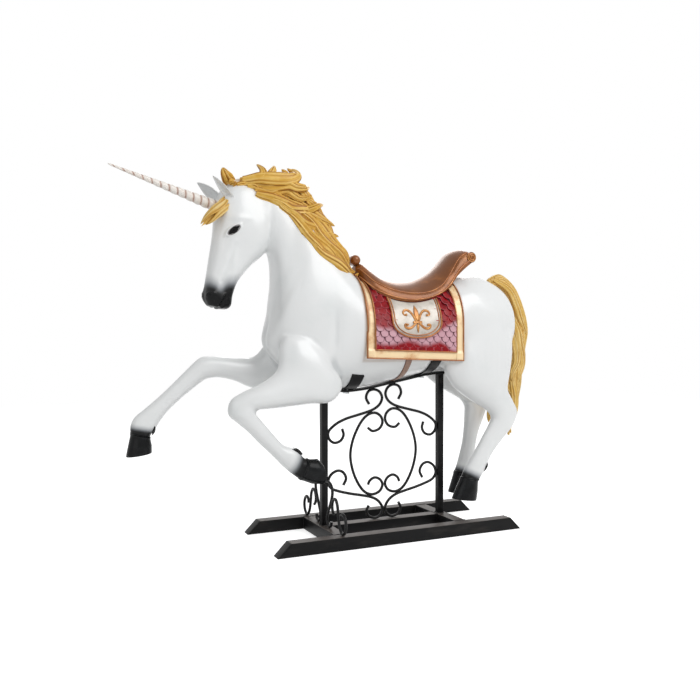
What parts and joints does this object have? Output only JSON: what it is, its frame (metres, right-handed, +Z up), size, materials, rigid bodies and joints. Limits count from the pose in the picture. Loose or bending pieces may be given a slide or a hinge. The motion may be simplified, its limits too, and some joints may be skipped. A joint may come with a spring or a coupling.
{
  "type": "sit-on unicorn figure on a welded stand",
  "caption": "Galloping fibreglass unicorn with saddle, blanket and spiral horn, bolted through its belly to a black steel stand with scrollwork and floor runners.",
  "frame": {"origin": "on the floor at the middle of the stand, at the underside of the centre tube", "axes": "+X along the runners towards the tail, so the figure faces -X; +Y towards the figure's right side; +Z up"},
  "size_m": [1.8033, 0.436, 1.4476],
  "materials": {
    "white_gelcoat": "glossy white gelcoat with soft cool-grey shading",
    "golden_hair": "sculpted locks, golden yellow with orange-brown wash in the grooves",
    "ivory_horn": "ivory with pinkish-brown grooves, satin",
    "black_stand": "satin black paint over welded steel",
    "copper_saddle": "semi-gloss copper brown, darker on top",
    "crimson_blanket": "crimson fish-scale field with a gold and cream border",
    "pearl_shield": "pearl ivory with a copper-gold rim",
    "copper_ornament": "copper paint with a dark outline",
    "tan_strap": "pinkish tan with dark brown edges",
    "black_eye": "gloss black",
    "zinc_steel": "zinc plated"
  },
  "bodies": {
    "root": {"belly_bar": "black_stand", "belly_mounting_plate": "zinc_steel", "centre_tube": "black_stand", "forelock": "golden_hair", "front_band": "black_stand", "front_cross_tube": "black_stand", "front_post": "black_stand", "girth_strap": "tan_strap", "head_shell": "white_gelcoat", "horn": "ivory_horn", "horn_stud": "zinc_steel", "left_ear": "white_gelcoat", "left_eye": "black_eye", "left_fleuron": "copper_ornament", "left_foreleg": "white_gelcoat", "left_hindleg": "white_gelcoat", "left_outer_scroll": "black_stand", "left_post_scroll": "black_stand", "left_runner": "black_stand", "left_runner_front_end_plate": "black_stand", "left_runner_rear_end_plate": "black_stand", "left_shield": "pearl_shield", "lower_front_scroll": "black_stand", "lower_rear_scroll": "black_stand", "mane": "golden_hair", "mounting_bolt_1": "zinc_steel", "mounting_bolt_2": "zinc_steel", "mounting_bolt_3": "zinc_steel", "mounting_bolt_4": "zinc_steel", "mounting_nut_1": "zinc_steel", "mounting_nut_2": "zinc_steel", "mounting_nut_3": "zinc_steel", "mounting_nut_4": "zinc_steel", "oval_front_scroll": "black_stand", "oval_rear_scroll": "black_stand", "rear_band": "black_stand", "rear_cross_tube": "black_stand", "rear_post": "black_stand", "right_ear": "white_gelcoat", "right_eye": "black_eye", "right_fleuron": "copper_ornament", "right_foreleg": "white_gelcoat", "right_hindleg": "white_gelcoat", "right_outer_scroll": "black_stand", "right_post_scroll": "black_stand", "right_runner": "black_stand", "right_runner_front_end_plate": "black_stand", "right_runner_rear_end_plate": "black_stand", "right_shield": "pearl_shield", "saddle": "copper_saddle", "saddle_blanket": "crimson_blanket", "tail": "golden_hair", "tail_stud": "zinc_steel", "torso_shell": "white_gelcoat", "upper_front_scroll": "black_stand", "upper_rear_scroll": "black_stand"}
  },
  "joints": []
}
